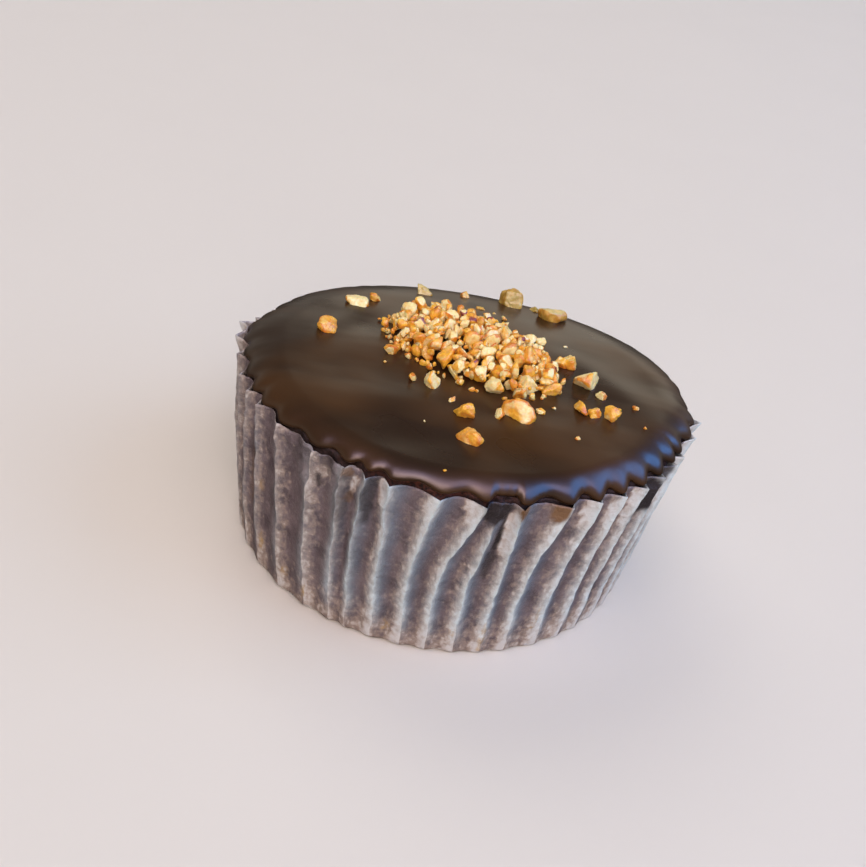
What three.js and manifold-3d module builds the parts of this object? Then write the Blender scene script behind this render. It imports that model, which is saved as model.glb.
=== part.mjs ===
// A small chocolate cake baked in a pleated paper case, covered with a dark chocolate icing
// and topped with a heap of chopped roasted nuts. Millimetres, +Z up. The origin is the
// centre of the case's flat underside, and the side that the pleats describe in detail
// faces -Y. Azimuths are in degrees, 0 along +X and -90 along -Y.

import * as THREE from 'three';
import { mergeVertices } from 'three/addons/utils/BufferGeometryUtils.js';
import Module from 'manifold-3d';

const wasm = await Module();
wasm.setup();

// Paper case
const FOOT_RADIUS = 25.5; // outer radius over the pleats where the case meets the table
const RIM_RADIUS = 28.4; // outer radius over the pleats at the rim
const RIM_HEIGHT = 23.3; // height of the rim at the front
const RIM_DROP_BACK = 3.5; // how much lower the rim is at the back
const RIM_DROP_POWER = 2; // how late the rim starts to drop on the way to the back
const LEAN = 0.9; // sideways shift of the rim's centre, towards +X
const BULGE = 0.1; // how far the side swells halfway up
const PAPER = 0.4; // wall, with the layers that a pleat folds together
const FOOT_ROUND = 0.7; // height of the rounded foot
const FOOT_INSET = 0.55; // how far the underside stays inside the side
const PLEAT_COUNT = 46;
const PLEAT_DEPTH_FOOT = 0.3;
const PLEAT_DEPTH_RIM = 1.4;
const PLEAT_WANDER = 0.22; // share by which the pitch of the pleats varies
const RIM_TWIST = 1.2; // degrees that a ridge turns on its way to the rim
const FOOT_TWIST = 1.0; // degrees that a ridge turns on its way to the foot
const TWIST_FROM = 12; // height where the turn towards the rim begins
const FOOT_TWIST_TO = 9; // height where the turn towards the foot ends

// Azimuth of each ridge at mid height on the front, with its turn towards the rim
const FRONT_RIDGES = [
  [-142, -2.0], [-131.8, -2.5], [-121.6, -1.2], [-113.2, -0.5], [-108.2, 0.3],
  [-100.8, -1.5], [-93, 1.8], [-86.2, 5.2], [-79, 2.2], [-71.7, -0.6],
  [-65, 4.0], [-55.5, 2.3], [-47.5, 1.5], [-40.7, 1.7], [-33, 1.5],
];

// The ridge that is pressed flat under the rim
const PINCHED_RIDGE = 8;
const PINCH_FROM = 18.5; // height where it begins to flatten
const PINCH_TO = 21.5;
const PINCH_FOLD = 0.85; // how far it then lies behind the others, as a share of the depth

// Corners where the rim is pulled out and up: azimuth, width, outward reach, extra height
const RIM_CORNERS = [
  { azimuth: 179, width: 8, reach: 1.1, rise: 1.1 },
  { azimuth: -4, width: 8, reach: 0.9, rise: 1.2 },
];
const CORNER_FROM = 20.5; // height where a corner starts to leave the round side
const CORNER_TO = 24;
const SIDE_ROWS = [9, 17]; // heights of the points between the foot and the rim

// Cake and icing
const GAP = 0.3; // clearance between neighbouring pieces
const CAKE_SHOULDER = 0.5; // rounding at the top edge of the cake
const ICING_EDGE = 23.2; // height of the icing's lower edge at the sides
const ICING_EDGE_FRONT = 0.85; // how much higher it is at the front, above the paper
const ICING_EDGE_BACK = 3.1; // how much lower it is at the back
const ICING_DROP_POWER = 3.4; // how late it starts to drop on the way to the back
const ICING_FRONT = -93; // azimuth where the icing stands highest above the paper
const ICING_FRONT_WIDTH = 24;
const ICING_EDGE_SIDE = 0.25; // difference between the right side and the middle
const ICING_LIP = 2.4; // height of the rounded lip at the sides
const ICING_CENTRE = 26.0; // height of the icing in the middle
const ICING_THICK = 1.5; // thickness in the middle
const ICING_OVERHANG = 0.4; // how far the lip reaches out where it clears the paper
const CLEAR_FROM = 0.35; // height over the paper where the lip begins to reach out
const CLEAR_TO = 0.9;
const ICING_WAVE_FROM = 0.96; // share of the radius where the pleats begin to show in it

// The lip's section, from the lower edge up: share of the radius and of the lip's height
const LIP_SECTION = [
  { share: 0.985, rise: 0 },
  { share: 1, rise: 0.15 },
  { share: 0.965, rise: 0.5 },
  { share: 0.9, rise: 0.87 },
];
const TOP_SHARES = [0.76, 0.38]; // shares of the radius with points on the icing's top
const CAKE_TOP_SHARE = 0.975; // share of the radius where the cake's shoulder begins

// Chopped nuts
const HEAP = { x: 0.7, y: 0.1, long: 11.9, wide: 7.3, turn: -32, high: 1.8 };
const HEAP_NUTS = 62;
const HEAP_NUT_SMALL = 2.0;
const HEAP_NUT_LARGE = 3.9;
const SMALL_MORE_OFTEN = 1.6; // power that makes small nuts more frequent than large ones
const HEAP_SCATTER = 1.2; // random shift of a nut in the heap
const MOUND_SPREAD = 0.84; // size of the bed under the heap, as a share of the heap's
const MOUND_HIGH = 0.65;
const MOUND_SIDES = 16;
const MOUND_ROWS = 8;
const NUT_SUNK = 0.3; // share of its size that a loose nut sits into the icing
const NUT_ROUGHNESS = 0.2; // how far a nut's corners leave an even shape
const NUT_FLATNESS = [1.0, 0.82, 0.68]; // proportions of a chopped nut
const LOOSE_TILT = 0.1; // share of a turn that a loose nut may lean

// Nuts that lie apart from the heap: x, y, size
const LOOSE_NUTS = [
  [-17.2, -0.2, 2.9], [-15.0, 8.8, 3.2], [-12.9, 11.0, 2.0], [-7.2, 17.2, 2.7],
  [-1.5, 19.6, 1.5], [-8.7, -3.7, 2.1], [-5.5, -9.1, 1.5], [-3.4, -9.1, 3.0],
  [-0.5, -12.1, 1.1], [1.1, -14.5, 3.2], [2.3, -19.2, 3.0], [7.2, -12.8, 3.8],
  [5.2, -13.4, 1.8], [9.7, -10.9, 1.3], [11.7, 1.7, 1.9], [13.2, 2.4, 2.8],
  [15.4, -1.9, 3.6], [16.9, -4.5, 1.6], [14.4, -8.4, 2.5], [16.0, -8.8, 1.9],
  [18.2, -8.5, 2.3], [21.3, -5.4, 1.1], [4.5, 19.3, 3.9], [10.5, 17.7, 4.2],
  [8.2, 19.4, 1.9], [1.9, 10.6, 2.0], [0.8, 14.8, 1.2], [4.0, 12.6, 1.2],
  [9.2, 7.3, 2.0],
];

// Random draws that are the same on every run
const DRAW_MULTIPLIER = 1664525;
const DRAW_STEP = 1013904223;
const DRAW_RANGE = 2 ** 32;
const RIDGE_SEED = 11;
const NUT_SEED = 5;

// The meshes are woven on one grid: four columns to a pleat
const STEPS = 4;
const COLUMNS = PLEAT_COUNT * STEPS;
const MERGE_WITHIN = 1e-5; // corners closer than this are one

function randomDraws(seed) {
  let state = seed;
  return () => {
    state = (state * DRAW_MULTIPLIER + DRAW_STEP) % DRAW_RANGE;
    return state / DRAW_RANGE;
  };
}

// Share from 0 to 1, with a soft start and end, as value goes from low to high
function ease(value, low, high) {
  const share = Math.min(Math.max((value - low) / (high - low), 0), 1);
  return share * share * (3 - 2 * share);
}

function radians(degrees) {
  return degrees * Math.PI / 180;
}

// 1 at the azimuth centre, falling to 0 within about two widths
function closeTo(azimuth, centre, width) {
  const turns = (azimuth - centre) / 360;
  const away = (turns - Math.round(turns)) * 360;
  return Math.exp(-((away / width) ** 2));
}

// 0 at the front, 1 at the back
function backness(azimuth) {
  return 0.5 - 0.5 * Math.cos(radians(azimuth + 90));
}

// Ridges all the way round: the front ones as listed, the others at an uneven pitch
function makeRidges() {
  const draw = randomDraws(RIDGE_SEED);
  const first = FRONT_RIDGES[0][0];
  const last = FRONT_RIDGES[FRONT_RIDGES.length - 1][0];
  const others = PLEAT_COUNT - FRONT_RIDGES.length;
  const pitches = [];
  for (let i = 0; i <= others; i++) {
    pitches.push(1 + PLEAT_WANDER * (2 * draw() - 1));
  }
  const sum = pitches.reduce((total, pitch) => total + pitch, 0);
  const unit = (360 - (last - first)) / sum;
  const ridges = FRONT_RIDGES.map(([azimuth, twist]) => ({ azimuth, twist }));
  let azimuth = last;
  for (let i = 0; i < others; i++) {
    azimuth += pitches[i] * unit;
    ridges.push({ azimuth, twist: RIM_TWIST * 2 * draw() });
  }
  return ridges;
}

const RIDGES = makeRidges();

function ridgeAzimuth(number, height) {
  const ridge = RIDGES[number % PLEAT_COUNT];
  const wholeTurns = 360 * Math.floor(number / PLEAT_COUNT);
  const rimTurn = ridge.twist * ease(height, TWIST_FROM, RIM_HEIGHT);
  const footTurn = FOOT_TWIST * (1 - ease(height, 0, FOOT_TWIST_TO));
  return ridge.azimuth + wholeTurns + rimTurn + footTurn;
}

// Azimuth of a grid column. Column 0 of each pleat is a ridge, the middle one its valley.
function columnAzimuth(column, height) {
  const pleat = Math.floor(column / STEPS);
  const share = (column % STEPS) / STEPS;
  const from = ridgeAzimuth(pleat, height);
  const to = ridgeAzimuth(pleat + 1, height);
  return from + (to - from) * share;
}

// 1 at the pinched ridge, 0 at its neighbours
function pinch(column) {
  const pleat = Math.floor(column / STEPS);
  const share = (column % STEPS) / STEPS;
  if (pleat === PINCHED_RIDGE) return 1 - share;
  return pleat === PINCHED_RIDGE - 1 ? share : 0;
}

// How far a column lies behind the ridges, as a share of the pleats' depth
function fold(column, height) {
  const depth = Math.sin(Math.PI * (column % STEPS) / STEPS);
  const pressed = pinch(column) * ease(height, PINCH_FROM, PINCH_TO);
  return depth + (PINCH_FOLD - depth) * pressed;
}

function rimHeight(azimuth) {
  let height = RIM_HEIGHT - RIM_DROP_BACK * backness(azimuth) ** RIM_DROP_POWER;
  for (const corner of RIM_CORNERS) {
    height += corner.rise * closeTo(azimuth, corner.azimuth, corner.width);
  }
  return height;
}

function pleatDepth(height) {
  return PLEAT_DEPTH_FOOT + (PLEAT_DEPTH_RIM - PLEAT_DEPTH_FOOT) * height / RIM_HEIGHT;
}

// Radius of the side over the ridges
function sideRadius(azimuth, height) {
  const share = height / RIM_HEIGHT;
  let radius = FOOT_RADIUS + (RIM_RADIUS - FOOT_RADIUS) * share;
  radius += BULGE * 4 * share * (1 - share);
  for (const corner of RIM_CORNERS) {
    const pull = corner.reach * closeTo(azimuth, corner.azimuth, corner.width);
    radius += pull * ease(height, CORNER_FROM, CORNER_TO);
  }
  return radius;
}

// Radius of the pleated paper's outer face
function paperRadius(column, height) {
  const side = sideRadius(columnAzimuth(column, height), height);
  return side - pleatDepth(height) * fold(column, height);
}

// A point at a radius from the case's leaning centre line
function pointAt(azimuth, radius, height) {
  const turn = radians(azimuth);
  const centre = LEAN * (height / RIM_HEIGHT) ** 2;
  return new THREE.Vector3(centre + radius * Math.cos(turn), radius * Math.sin(turn), height);
}

// Height that the foot of the lip has all round, but for the front
function lipLevel(azimuth) {
  const side = ICING_EDGE_SIDE * Math.sin(radians(azimuth + 90));
  const back = ICING_EDGE_BACK * backness(azimuth) ** ICING_DROP_POWER;
  return ICING_EDGE + side - back;
}

// Height of the icing's lower edge
function icingEdge(azimuth) {
  const front = ICING_EDGE_FRONT * closeTo(azimuth, ICING_FRONT, ICING_FRONT_WIDTH);
  return lipLevel(azimuth) + front;
}

// Radius of the icing at a share of the way from its middle to its edge. The edge follows
// the pleats, and the pattern fades out inwards.
function icingRadius(column, share) {
  const azimuth = columnAzimuth(column, RIM_HEIGHT);
  const height = Math.min(icingEdge(azimuth), RIM_HEIGHT);
  const inside = PAPER + GAP;
  const depth = pleatDepth(height) * fold(column, RIM_HEIGHT);
  const edge = sideRadius(azimuth, height) - depth - inside;
  const mean = sideRadius(azimuth, height) - pleatDepth(height) * 2 / Math.PI - inside;
  const clearance = icingEdge(azimuth) - rimHeight(azimuth);
  const overhang = ICING_OVERHANG * ease(clearance, CLEAR_FROM, CLEAR_TO);
  const wave = Math.max((share - ICING_WAVE_FROM) / (1 - ICING_WAVE_FROM), 0) ** 2;
  return share * (mean + overhang) + wave * (edge - mean);
}

// Height of the icing's top at a share of the way from its middle to its edge
function icingTop(azimuth, share) {
  const atEdge = lipLevel(azimuth) + ICING_LIP;
  return ICING_CENTRE + (atEdge - ICING_CENTRE) * share * share;
}

// Height of the icing's underside
function icingUnderside(azimuth, share) {
  const middle = ICING_CENTRE - ICING_THICK;
  return middle + (icingEdge(azimuth) - middle) * share;
}

// A closed body of revolution whose grid points are then placed by their column and row.
// The first and last rows lie on the axis.
function wovenGeometry(rowCount, place) {
  const profile = [];
  for (let row = 0; row < rowCount; row++) {
    profile.push(new THREE.Vector2(row === 0 || row === rowCount - 1 ? 0 : 1, row));
  }
  const geometry = new THREE.LatheGeometry(profile, COLUMNS);
  const position = geometry.getAttribute('position');
  for (let column = 0; column <= COLUMNS; column++) {
    for (let row = 0; row < rowCount; row++) {
      const point = place(column % COLUMNS, row);
      position.setXYZ(column * rowCount + row, point.x, point.y, point.z);
    }
  }
  return outward(closed(geometry));
}

// Merges shared corners and drops the triangles that have shrunk to a line
function closed(geometry) {
  geometry.deleteAttribute('normal');
  geometry.deleteAttribute('uv');
  const merged = mergeVertices(geometry, MERGE_WITHIN);
  const corners = merged.getIndex().array;
  const kept = [];
  for (let i = 0; i < corners.length; i += 3) {
    const [a, b, c] = corners.slice(i, i + 3);
    if (a !== b && b !== c && c !== a) kept.push(a, b, c);
  }
  merged.setIndex(kept);
  return merged;
}

// Turns the triangles over if the body's signed volume shows that they face inwards
function outward(geometry) {
  const position = geometry.getAttribute('position');
  const corners = geometry.getIndex().array;
  const point = (i) => new THREE.Vector3().fromBufferAttribute(position, corners[i]);
  let volume = 0;
  for (let i = 0; i < corners.length; i += 3) {
    volume += point(i).dot(point(i + 1).cross(point(i + 2)));
  }
  if (volume < 0) geometry.setIndex(Array.from(corners).reverse());
  return geometry;
}

function toSolid(geometry) {
  const vertProperties = new Float32Array(geometry.getAttribute('position').array);
  const triVerts = new Uint32Array(geometry.getIndex().array);
  return new wasm.Manifold(new wasm.Mesh({ numProp: 3, vertProperties, triVerts }));
}

function toGeometry(solid) {
  const mesh = solid.getMesh();
  const geometry = new THREE.BufferGeometry();
  const position = new THREE.BufferAttribute(new Float32Array(mesh.vertProperties), 3);
  geometry.setAttribute('position', position);
  geometry.setIndex(Array.from(mesh.triVerts));
  return geometry;
}

// The case: a flat floor, a rounded foot and a pleated side, with the inside one wall in
function caseGeometry() {
  const heights = [0, FOOT_ROUND, ...SIDE_ROWS];
  const outerRows = heights.length + 1;
  const place = (column, row) => {
    const inner = row > outerRows;
    const step = inner ? 2 * outerRows + 1 - row : row;
    if (step === 0) return new THREE.Vector3(0, 0, inner ? PAPER : 0);
    const wall = inner ? PAPER : 0;
    if (step === outerRows) {
      const azimuth = columnAzimuth(column, RIM_HEIGHT);
      const height = rimHeight(azimuth);
      return pointAt(azimuth, paperRadius(column, height) - wall, height);
    }
    const height = heights[step - 1] + (inner && step <= 2 ? PAPER : 0);
    const inset = step === 1 ? FOOT_INSET : 0;
    const azimuth = columnAzimuth(column, height);
    return pointAt(azimuth, paperRadius(column, height) - wall - inset, height);
  };
  return wovenGeometry(2 * outerRows + 2, place);
}

// The cake fills the case up to the icing, and shows as a band where the icing clears
// the paper
function cakeGeometry() {
  const floor = PAPER + GAP;
  const heights = [floor, floor + FOOT_ROUND, ...SIDE_ROWS];
  const edgeRow = heights.length + 1;
  const lastRow = edgeRow + 2;
  const place = (column, row) => {
    if (row === 0) return new THREE.Vector3(0, 0, floor);
    if (row < edgeRow) {
      const height = heights[row - 1];
      const inset = PAPER + GAP + (row === 1 ? FOOT_INSET : 0);
      const azimuth = columnAzimuth(column, height);
      return pointAt(azimuth, paperRadius(column, height) - inset, height);
    }
    const azimuth = columnAzimuth(column, RIM_HEIGHT);
    if (row === edgeRow) {
      const height = icingUnderside(azimuth, 1) - GAP - CAKE_SHOULDER;
      return pointAt(azimuth, paperRadius(column, height) - PAPER - GAP, height);
    }
    const share = row === lastRow ? 0 : CAKE_TOP_SHARE;
    const height = icingUnderside(azimuth, share) - GAP;
    return pointAt(row === lastRow ? 0 : azimuth, icingRadius(column, share), height);
  };
  return wovenGeometry(lastRow + 1, place);
}

// The icing: a flat underside, a rounded lip and a slightly crowned top
function icingGeometry() {
  const topFrom = LIP_SECTION.length + 1;
  const lastRow = topFrom + TOP_SHARES.length;
  const place = (column, row) => {
    const azimuth = columnAzimuth(column, RIM_HEIGHT);
    if (row === 0) return pointAt(0, 0, icingUnderside(0, 0));
    if (row === lastRow) return pointAt(0, 0, ICING_CENTRE);
    if (row < topFrom) {
      const { share, rise } = LIP_SECTION[row - 1];
      const edge = icingEdge(azimuth);
      const height = edge + rise * (icingTop(azimuth, 1) - edge);
      return pointAt(azimuth, icingRadius(column, share), height);
    }
    const share = TOP_SHARES[row - topFrom];
    return pointAt(azimuth, icingRadius(column, share), icingTop(azimuth, share));
  };
  return wovenGeometry(lastRow + 1, place);
}

// Height of the icing's top at a place on it
function icingHeightAt(x, y) {
  const azimuth = Math.atan2(y, x - LEAN) * 180 / Math.PI;
  const edge = sideRadius(azimuth, RIM_HEIGHT) - PLEAT_DEPTH_RIM - PAPER - GAP;
  return icingTop(azimuth, Math.hypot(x - LEAN, y) / edge);
}

// Places of the nuts: a heap that rises towards its middle, and the loose ones round it
function makeNuts() {
  const draw = randomDraws(NUT_SEED);
  const turn = radians(HEAP.turn);
  const goldenAngle = Math.PI * (3 - Math.sqrt(5));
  const nuts = [];
  for (let i = 0; i < HEAP_NUTS; i++) {
    const out = Math.sqrt((i + 0.5) / HEAP_NUTS);
    const along = HEAP.long * out * Math.cos(i * goldenAngle) + HEAP_SCATTER * (draw() - 0.5);
    const across = HEAP.wide * out * Math.sin(i * goldenAngle) + HEAP_SCATTER * (draw() - 0.5);
    const growth = draw() ** SMALL_MORE_OFTEN;
    const size = HEAP_NUT_SMALL + (HEAP_NUT_LARGE - HEAP_NUT_SMALL) * growth;
    const x = HEAP.x + along * Math.cos(turn) - across * Math.sin(turn);
    const y = HEAP.y + along * Math.sin(turn) + across * Math.cos(turn);
    const z = icingHeightAt(x, y) + HEAP.high * (1 - out * out) + NUT_SUNK * size / 2;
    nuts.push({ x, y, z, size, turns: [draw(), draw(), draw()] });
  }
  for (const [x, y, size] of LOOSE_NUTS) {
    const z = icingHeightAt(x, y) + (0.5 - NUT_SUNK) * size * NUT_FLATNESS[2];
    const turns = [draw(), draw() * LOOSE_TILT, draw() * LOOSE_TILT];
    nuts.push({ x, y, z, size, turns });
  }
  return nuts;
}

// One chopped nut: an uneven lump with flat faces
function nutGeometry(nut, draw) {
  const geometry = closed(new THREE.IcosahedronGeometry(nut.size / 2, 0));
  const position = geometry.getAttribute('position');
  for (let i = 0; i < position.count; i++) {
    const reach = 1 + NUT_ROUGHNESS * (2 * draw() - 1);
    position.setXYZ(i, position.getX(i) * reach, position.getY(i) * reach,
      position.getZ(i) * reach);
  }
  geometry.scale(...NUT_FLATNESS);
  geometry.rotateX(nut.turns[1] * 2 * Math.PI);
  geometry.rotateY(nut.turns[2] * 2 * Math.PI);
  geometry.rotateZ(nut.turns[0] * 2 * Math.PI);
  geometry.translate(nut.x, nut.y, nut.z);
  return geometry;
}

// The low mound that the heap's nuts are bedded in
function moundGeometry() {
  const geometry = closed(new THREE.SphereGeometry(1, MOUND_SIDES, MOUND_ROWS));
  geometry.rotateX(Math.PI / 2);
  const high = HEAP.high * MOUND_HIGH;
  geometry.scale(HEAP.long * MOUND_SPREAD, HEAP.wide * MOUND_SPREAD, high);
  geometry.rotateZ(radians(HEAP.turn));
  geometry.translate(HEAP.x, HEAP.y, icingHeightAt(HEAP.x, HEAP.y));
  return geometry;
}

// The icing with its nuts. Of what joining leaves, only the outer skin is kept: a hollow
// between nuts is filled and a loose scrap dropped.
function icedTopGeometry() {
  const draw = randomDraws(NUT_SEED + 1);
  let solid = toSolid(icingGeometry()).add(toSolid(moundGeometry()));
  for (const nut of makeNuts()) {
    solid = solid.add(toSolid(nutGeometry(nut, draw)));
  }
  const skins = solid.decompose();
  skins.sort((a, b) => b.volume() - a.volume());
  return toGeometry(skins[0]);
}

const FINISHES = {
  paper: { color: 0x9a8c8b, roughness: 0.75, metalness: 0, flatShading: true },
  crumb: { color: 0x3a1c14, roughness: 0.95, metalness: 0, flatShading: true },
  chocolate: { color: 0x3a2a20, roughness: 0.3, metalness: 0, flatShading: true },
};

function piece(name, geometry, finish) {
  const mesh = new THREE.Mesh(geometry, new THREE.MeshStandardMaterial(finish));
  mesh.name = name;
  return mesh;
}

const cake = new THREE.Group();
cake.add(piece('paper_case', caseGeometry(), FINISHES.paper));
cake.add(piece('cake', cakeGeometry(), FINISHES.crumb));
cake.add(piece('chocolate_icing', icedTopGeometry(), FINISHES.chocolate));

export default cake;
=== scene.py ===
"""A small chocolate cake in a pleated paper case, with dark icing and chopped roasted nuts.

Laid out as an add-on: settings, one operator for each group of pieces, and a panel. Shapes
are worked out in millimetres and degrees and placed in metres. Azimuth 0 is +X, -90 is the
front, -Y.
"""

import math

import bmesh
import bpy
from bpy.props import FloatProperty, FloatVectorProperty, IntProperty, PointerProperty
from mathutils import Euler, Matrix, Quaternion, Vector, noise


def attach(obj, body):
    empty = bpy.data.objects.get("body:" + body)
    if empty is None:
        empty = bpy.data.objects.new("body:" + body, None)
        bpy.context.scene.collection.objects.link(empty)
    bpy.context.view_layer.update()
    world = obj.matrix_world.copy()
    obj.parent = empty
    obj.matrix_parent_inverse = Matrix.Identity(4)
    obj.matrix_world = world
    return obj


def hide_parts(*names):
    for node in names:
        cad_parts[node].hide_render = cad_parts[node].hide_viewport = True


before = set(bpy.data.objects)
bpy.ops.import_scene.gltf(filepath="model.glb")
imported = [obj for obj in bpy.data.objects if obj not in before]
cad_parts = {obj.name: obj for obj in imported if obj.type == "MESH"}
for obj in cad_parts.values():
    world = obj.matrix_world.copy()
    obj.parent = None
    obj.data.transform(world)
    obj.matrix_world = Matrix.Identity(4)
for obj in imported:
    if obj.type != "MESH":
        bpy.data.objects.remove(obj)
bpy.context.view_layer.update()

bl_info = {
    "name": "Chocolate Cake with Nuts",
    "version": (1, 0, 0),
    "blender": (4, 5, 0),
    "location": "View3D > Sidebar > Cake",
    "description": "Builds a small iced chocolate cake in a pleated paper case",
    "category": "Add Mesh",
}

MM = 0.001

# ---------------------------------------------------------------- sizes, millimetres

RIM_DROP_BACK = 3.5  # how much lower the rim is at the back
RIM_DROP_POWER = 2.0
RIM_WAVE = 0.12
LEAN = 0.9  # sideways shift of the rim's centre
BULGE = 0.1
FOOT_ROUND = 0.7
FOOT_INSET = 0.55
PLEAT_DEPTH_FOOT = 0.3
PLEAT_DEPTH_RIM = 1.4
PLEAT_WANDER = 0.22  # how uneven the pitch is, as a share of it
RIM_TWIST = 1.2  # degrees that a ridge turns aside towards the rim, from TWIST_FROM up
FOOT_TWIST = 1.0  # and towards the foot, below FOOT_TWIST_TO
TWIST_FROM = 12.0
FOOT_TWIST_TO = 9.0
FLUTE_SKEW = 0.8  # below 1, a flute is deepest left of its middle
ROUND_TO = 1.0  # height up to which the ridges are round
SHARP_FROM = 15.0
RIDGE_APART = 7.31  # step in the noise from one ridge to the next
# Kinks that carry a ridge sideways: degrees, height from one to the next, place in the noise
KINKS = ((0.55, 3.1, 0.0), (0.3, 1.3, 5.0))
PINCHED = 8  # number of the ridge that is pressed flat under the rim
PINCH_FROM = 18.5
PINCH_TO = 21.5
PINCH_FOLD = 0.85
CRUMPLED_AT = -124  # where the pleats are crumpled under the rim
CRUMPLED_WIDTH = 15
CRUMPLED_FROM = 17.0
CRUMPLED_TO = 20.5
CRUMPLED_FOLD = 0.4
CRUMPLED_MOST = 0.5
INNER_INSET = 0.6  # how far the paper's inner face keeps clear of the creases
INNER_FROM = 2.2  # depths below the rim between which it gets there
INNER_TO = 4.5
CASE_WALL = 0.4  # wall of the solid that the paper stands for
CASE_GAP = 0.3  # clearance between the solids
ICING_CLEAR = 0.35  # how far the icing stays short of the ridges' inside
LOBE_DEPTH = 0.9  # depth of the icing's lobes, as a share of the pleats' depth
LOBE_MEAN = 0.5
LOBE_POWER = 2.2  # the higher, the broader the lobes and the narrower the arches

# Azimuth of each ridge at mid height on the front, with its turn towards the rim
FRONT_RIDGES = (
    (-142, -2.0), (-131.8, -2.5), (-121.6, -1.2), (-113.2, -0.5), (-108.2, 0.3),
    (-100.8, -1.5), (-93, 1.8), (-86.2, 5.2), (-79, 2.2), (-71.7, -0.6),
    (-65, 4.0), (-55.5, 2.3), (-47.5, 1.5), (-40.7, 1.7), (-33, 1.5),
)

# Corners where the rim is pulled out and up: azimuth, width, reach, rise
RIM_CORNERS = ((179, 8, 1.1, 1.1), (-4, 8, 0.9, 1.2))
CORNER_FROM = 20.5
CORNER_TO = 24.0

ICING_EDGE = 23.2  # height of the icing's lower edge
ICING_EDGE_FRONT = 0.85  # how much higher it is at the front
ICING_FRONT = -102
ICING_FRONT_WIDTH = 32
ICING_EDGE_BACK = 3.1  # how much lower it is at the back
ICING_DROP_POWER = 3.4
ICING_EDGE_SIDE = 0.25  # how much higher it is at the right
ICING_OVERHANG = 0.4  # how far it stands out where it hangs free above the paper
CLEAR_FROM = 0.35  # clearances over the rim between which it comes to hang free
CLEAR_TO = 0.9

HEAP_X = 0.7  # middle of the heap of nuts
HEAP_Y = 0.1
HEAP_LONG = 11.9  # half length and half width
HEAP_WIDE = 7.3
HEAP_TURN = -32
HEAP_HIGH = 1.8
HEAP_NUTS = 62
HEAP_NUT_SMALL = 2.0
HEAP_NUT_LARGE = 3.9
SMALL_MORE_OFTEN = 1.6  # power that makes small sizes more frequent
HEAP_SCATTER = 1.2
NUT_SUNK = 0.3  # how deep a nut sits in the icing, as a share of its size
LOOSE_FLATNESS = 0.68
LOOSE_TILT = 0.1
LOOSE_GROWTH = 1.18  # chopped nuts are knobblier, so they look smaller than their solids

# Nuts that lie apart from the heap: x, y, size
LOOSE_NUTS = (
    (-17.2, -0.2, 2.9), (-15.0, 8.8, 3.2), (-12.9, 11.0, 2.0), (-7.2, 17.2, 2.7),
    (-1.5, 19.6, 1.5), (-8.7, -3.7, 2.1), (-5.5, -9.1, 1.5), (-3.4, -9.1, 3.0),
    (-0.5, -12.1, 1.1), (1.1, -14.5, 3.2), (2.3, -19.2, 3.0), (7.2, -12.8, 3.8),
    (5.2, -13.4, 1.8), (9.7, -10.9, 1.3), (11.7, 1.7, 1.9), (13.2, 2.4, 2.8),
    (15.4, -1.9, 3.6), (16.9, -4.5, 1.6), (14.4, -8.4, 2.5), (16.0, -8.8, 1.9),
    (18.2, -8.5, 2.3), (21.3, -5.4, 1.1), (4.5, 19.3, 3.9), (10.5, 17.7, 4.2),
    (8.2, 19.4, 1.9), (1.9, 10.6, 2.0), (0.8, 14.8, 1.2), (4.0, 12.6, 1.2),
    (9.2, 7.3, 2.0),
)

RIDGE_SEED = 11
NUT_SEED = 5
DRAW_MULTIPLIER = 1664525
DRAW_STEP = 1013904223
DRAW_RANGE = 2 ** 32

STEPS = 14  # columns to a pleat
WELD = 1e-7  # metres within which points become one


# ---------------------------------------------------------------- settings

def length(name, description, millimetres):
    return FloatProperty(
        name=name, description=description, default=millimetres * MM, min=0.0,
        unit="LENGTH", precision=5)


def colour(name, description, rgb):
    return FloatVectorProperty(
        name=name, description=description, default=rgb, size=3, min=0.0, max=1.0,
        subtype="COLOR")


class CaseSettings(bpy.types.PropertyGroup):
    foot_radius: length("Foot Radius", "Outer radius over the pleats at the table", 25.5)
    rim_radius: length("Rim Radius", "Outer radius over the pleats at the rim", 28.4)
    rim_height: length("Rim Height", "Height of the rim at the front", 23.3)
    paper: length("Paper", "Thickness of the paper", 0.12)
    pleats: IntProperty(
        name="Pleats", description="Number of pleats round the case", default=46, min=8)
    dry: colour("Dry Paper", "Paper that no fat has reached", (0.60, 0.57, 0.565))
    damp: colour("Damp Paper", "Paper that a little fat has reached", (0.39, 0.295, 0.24))
    soaked: colour("Soaked Paper", "Paper that lies on the cake", (0.177, 0.130, 0.138))
    deep: colour("Deep Soaked", "The greasiest paper", (0.095, 0.068, 0.076))
    fibres: colour("Fibres", "Pale fibres in greasy paper", (0.44, 0.40, 0.40))
    # Painted shade: dark bluish paper just after each ridge, on the side away from the light
    painted_shade: colour("Shaded", "Bluish paper beside a ridge", (0.105, 0.150, 0.215))
    # Painted highlight: pale bluish paper along the ridges, where they catch the light
    ridge_highlight: colour("Crest", "Paper along the ridges", (0.61, 0.73, 0.79))
    ochre: colour("Ochre Spots", "Small spots near the foot", (0.46, 0.29, 0.10))
    brown: colour("Brown Stains", "Chocolate on the rim", (0.190, 0.100, 0.045))
    smear: colour("Dark Smears", "Where fat has soaked right through", (0.030, 0.023, 0.024))


class IcingSettings(bpy.types.PropertyGroup):
    centre: length("Centre Height", "Height of the icing in the middle", 26.0)
    lip: length("Lip Height", "Height of the rounded lip at the sides", 2.4)
    thickness: length("Thickness", "Thickness in the middle", 1.5)
    chocolate: colour("Chocolate", "Colour of the icing", (0.024, 0.0115, 0.0055))
    # This colour also carries the painted glow of reflected light, besides the thin streaks
    thin_and_glow_colour: colour("Bloom", "Colour where it is thin", (0.056, 0.023, 0.0050))


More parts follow.
